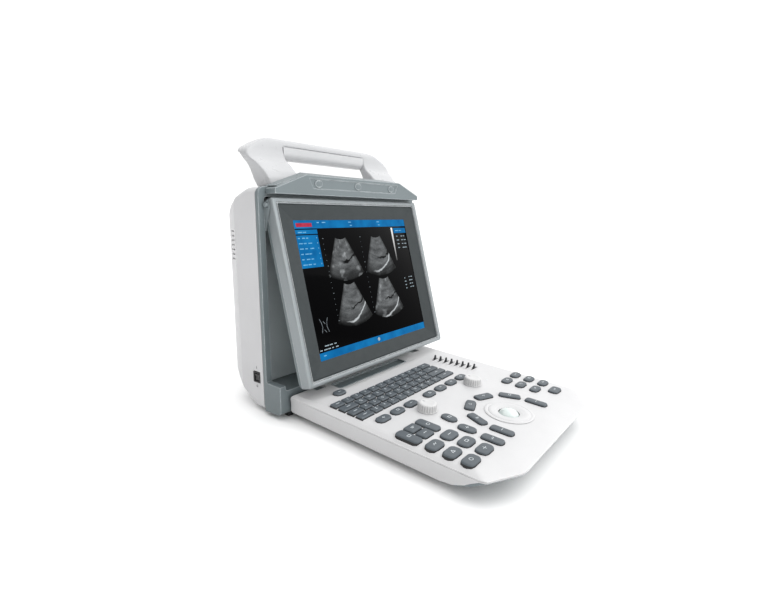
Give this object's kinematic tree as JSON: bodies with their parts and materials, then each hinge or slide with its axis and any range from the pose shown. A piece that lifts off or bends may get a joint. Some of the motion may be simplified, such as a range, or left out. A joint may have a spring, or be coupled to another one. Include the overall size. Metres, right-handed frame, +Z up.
{
  "type": "portable ultrasound scanner",
  "caption": "Portable diagnostic scanner: leaning case with a tilting display, fold-down control panel with keys, dials, sliders and trackball, and a carrying handle.",
  "frame": {"origin": "centre of the footprint's bounding box, on the surface the scanner stands on", "axes": "+X to the right of the user who faces the screen, +Y from the user towards the back, +Z up"},
  "size_m": [0.334, 0.435, 0.354],
  "materials": {
    "housing_white": "fine moulded texture, satin",
    "panel_white": "fine moulded texture, satin",
    "grip_white": "smooth satin",
    "frame_grey": "fine moulded texture, satin",
    "display_silver": "silver paint, semi-gloss",
    "bezel_dark": "fine texture",
    "screen": "glossy, lit picture",
    "key_grey": "soft touch, satin",
    "slider_black": "satin",
    "dial_white": "ribbed, satin",
    "ball_pearl": "pearl gloss",
    "rubber_black": "matt",
    "plastic_black": "satin",
    "socket_grey": "satin",
    "board_green": "solder mask",
    "steel": "brushed"
  },
  "bodies": {
    "main_unit": {"front_frame": "frame_grey", "mid_housing": "housing_white", "rear_cover": "housing_white", "display_bulkhead": "frame_grey", "brow_cap": "frame_grey", "handle_shell": "housing_white", "handle_grip": "grip_white", "switch_bezel": "plastic_black", "probe_socket_1": "socket_grey", "probe_socket_2": "socket_grey", "mains_inlet": "plastic_black", "battery_pack": "plastic_black", "battery_door": "housing_white", "main_board": "board_green", "power_supply": "steel", "fan_housing": "plastic_black", "foot_strip_left": "rubber_black", "foot_strip_right": "rubber_black"},
    "display_bracket": {"display_hinge_left": "steel", "display_hinge_right": "steel", "display_carrier": "steel"},
    "display": {"display_frame": "display_silver", "display_bezel": "bezel_dark", "lcd_panel": "screen", "display_back_cover": "frame_grey"},
    "control_panel": {"panel_top_cover": "panel_white", "panel_base": "panel_white", "panel_hinge_pin_left": "steel", "panel_hinge_pin_right": "steel", "finger_channel": "bezel_dark", "control_board": "board_green", "trackball_ring": "panel_white", "panel_foot_left": "rubber_black", "panel_foot_right": "rubber_black"},
    "power_rocker": {"power_rocker": "plastic_black"},
    "fan_rotor": {"fan_rotor": "plastic_black"},
    "trackball": {"trackball": "ball_pearl"},
    "dial_left": {"dial_left": "dial_white"},
    "dial_right": {"dial_right": "dial_white"},
    "typing_keys_row_1": {"typing_keys_row_1": "key_grey"},
    "typing_keys_row_2": {"typing_keys_row_2": "key_grey"},
    "typing_keys_row_3": {"typing_keys_row_3": "key_grey"},
    "typing_keys_row_4": {"typing_keys_row_4": "key_grey"},
    "power_key": {"power_key": "key_grey"},
    "function_keys_left": {"function_keys_left": "key_grey"},
    "function_keys_right": {"function_keys_right": "key_grey"},
    "image_keys": {"image_keys": "key_grey"},
    "arrow_keys": {"arrow_keys": "key_grey"},
    "measure_keys": {"measure_keys": "key_grey"},
    "square_keys": {"square_keys": "key_grey"},
    "ball_keys_left": {"ball_keys_left": "key_grey"},
    "ball_keys_right": {"ball_keys_right": "key_grey"},
    "gain_slider_1": {"gain_slider_1": "slider_black"},
    "gain_slider_2": {"gain_slider_2": "slider_black"},
    "gain_slider_3": {"gain_slider_3": "slider_black"},
    "gain_slider_4": {"gain_slider_4": "slider_black"},
    "gain_slider_5": {"gain_slider_5": "slider_black"},
    "gain_slider_6": {"gain_slider_6": "slider_black"},
    "gain_slider_7": {"gain_slider_7": "slider_black"},
    "gain_slider_8": {"gain_slider_8": "slider_black"}
  },
  "joints": [
    {"name": "panel_fold", "type": "hinge", "parent": "main_unit", "child": "control_panel", "pos_m": [0, 0.06901, 0.026], "axis": [-1, 0, 0], "range_deg": [0, 95.5]},
    {"name": "display_push_home", "type": "hinge", "parent": "main_unit", "child": "display_bracket", "pos_m": [0, 0.12626, 0.26809], "axis": [1, 0, 0], "range_deg": [0, 13.75]},
    {"name": "display_tilt", "type": "hinge", "parent": "display_bracket", "child": "display", "pos_m": [0, 0.12626, 0.26809], "axis": [1, 0, 0], "range_deg": [-8, 0]},
    {"name": "power_rocker_tip", "type": "hinge", "parent": "main_unit", "child": "power_rocker", "pos_m": [-0.16435, 0.12819, 0.04599], "axis": [0, 0.9954, -0.0958], "range_deg": [0, 16]},
    {"name": "fan_spin", "type": "hinge", "parent": "main_unit", "child": "fan_rotor", "pos_m": [0.1, 0.19897, 0.21247], "axis": [0, 0.9954, -0.0958], "continuous": true},
    {"name": "trackball_roll", "type": "hinge", "parent": "control_panel", "child": "trackball", "pos_m": [0, -0.15249, 0.0265], "axis": [1, 0, 0], "continuous": true},
    {"name": "dial_left_turn", "type": "hinge", "parent": "control_panel", "child": "dial_left", "pos_m": [-0.069, -0.07449, 0.036], "axis": [0, 0, 1], "continuous": true},
    {"name": "dial_right_turn", "type": "hinge", "parent": "control_panel", "child": "dial_right", "pos_m": [0.051, -0.07449, 0.036], "axis": [0, 0, 1], "continuous": true},
    {"name": "typing_keys_row_1_press", "type": "slide", "parent": "control_panel", "child": "typing_keys_row_1", "axis": [0, 0, -1], "range_m": [0, 0.0015], "stiffness_N_per_m": 700, "springref_m": -0.001},
    {"name": "typing_keys_row_2_press", "type": "slide", "parent": "control_panel", "child": "typing_keys_row_2", "axis": [0, 0, -1], "range_m": [0, 0.0015], "stiffness_N_per_m": 700, "springref_m": -0.001},
    {"name": "typing_keys_row_3_press", "type": "slide", "parent": "control_panel", "child": "typing_keys_row_3", "axis": [0, 0, -1], "range_m": [0, 0.0015], "stiffness_N_per_m": 700, "springref_m": -0.001},
    {"name": "typing_keys_row_4_press", "type": "slide", "parent": "control_panel", "child": "typing_keys_row_4", "axis": [0, 0, -1], "range_m": [0, 0.0015], "stiffness_N_per_m": 700, "springref_m": -0.001},
    {"name": "power_key_press", "type": "slide", "parent": "control_panel", "child": "power_key", "axis": [0, 0, -1], "range_m": [0, 0.0015], "stiffness_N_per_m": 400, "springref_m": -0.001},
    {"name": "function_keys_left_press", "type": "slide", "parent": "control_panel", "child": "function_keys_left", "axis": [0, 0, -1], "range_m": [0, 0.0015], "stiffness_N_per_m": 400, "springref_m": -0.001},
    {"name": "function_keys_right_press", "type": "slide", "parent": "control_panel", "child": "function_keys_right", "axis": [0, 0, -1], "range_m": [0, 0.0015], "stiffness_N_per_m": 400, "springref_m": -0.001},
    {"name": "image_keys_press", "type": "slide", "parent": "control_panel", "child": "image_keys", "axis": [0, 0, -1], "range_m": [0, 0.0015], "stiffness_N_per_m": 400, "springref_m": -0.001},
    {"name": "arrow_keys_press", "type": "slide", "parent": "control_panel", "child": "arrow_keys", "axis": [0, 0, -1], "range_m": [0, 0.0015], "stiffness_N_per_m": 400, "springref_m": -0.001},
    {"name": "measure_keys_press", "type": "slide", "parent": "control_panel", "child": "measure_keys", "axis": [0, 0, -1], "range_m": [0, 0.0015], "stiffness_N_per_m": 400, "springref_m": -0.001},
    {"name": "square_keys_press", "type": "slide", "parent": "control_panel", "child": "square_keys", "axis": [0, 0, -1], "range_m": [0, 0.0015], "stiffness_N_per_m": 400, "springref_m": -0.001},
    {"name": "ball_keys_left_press", "type": "slide", "parent": "control_panel", "child": "ball_keys_left", "axis": [0, 0, -1], "range_m": [0, 0.0015], "stiffness_N_per_m": 400, "springref_m": -0.001},
    {"name": "ball_keys_right_press", "type": "slide", "parent": "control_panel", "child": "ball_keys_right", "axis": [0, 0, -1], "range_m": [0, 0.0015], "stiffness_N_per_m": 400, "springref_m": -0.001},
    {"name": "gain_slider_1_slide", "type": "slide", "parent": "control_panel", "child": "gain_slider_1", "axis": [1, 0, 0], "range_m": [-0.008, 0.008]},
    {"name": "gain_slider_2_slide", "type": "slide", "parent": "control_panel", "child": "gain_slider_2", "axis": [1, 0, 0], "range_m": [-0.008, 0.008]},
    {"name": "gain_slider_3_slide", "type": "slide", "parent": "control_panel", "child": "gain_slider_3", "axis": [1, 0, 0], "range_m": [-0.008, 0.008]},
    {"name": "gain_slider_4_slide", "type": "slide", "parent": "control_panel", "child": "gain_slider_4", "axis": [1, 0, 0], "range_m": [-0.008, 0.008]},
    {"name": "gain_slider_5_slide", "type": "slide", "parent": "control_panel", "child": "gain_slider_5", "axis": [1, 0, 0], "range_m": [-0.008, 0.008]},
    {"name": "gain_slider_6_slide", "type": "slide", "parent": "control_panel", "child": "gain_slider_6", "axis": [1, 0, 0], "range_m": [-0.008, 0.008]},
    {"name": "gain_slider_7_slide", "type": "slide", "parent": "control_panel", "child": "gain_slider_7", "axis": [1, 0, 0], "range_m": [-0.008, 0.008]},
    {"name": "gain_slider_8_slide", "type": "slide", "parent": "control_panel", "child": "gain_slider_8", "axis": [1, 0, 0], "range_m": [-0.008, 0.008]}
  ],
  "couplings": [
    {"joint": "display_push_home", "follows": "panel_fold", "ratio": 0.14345}
  ]
}
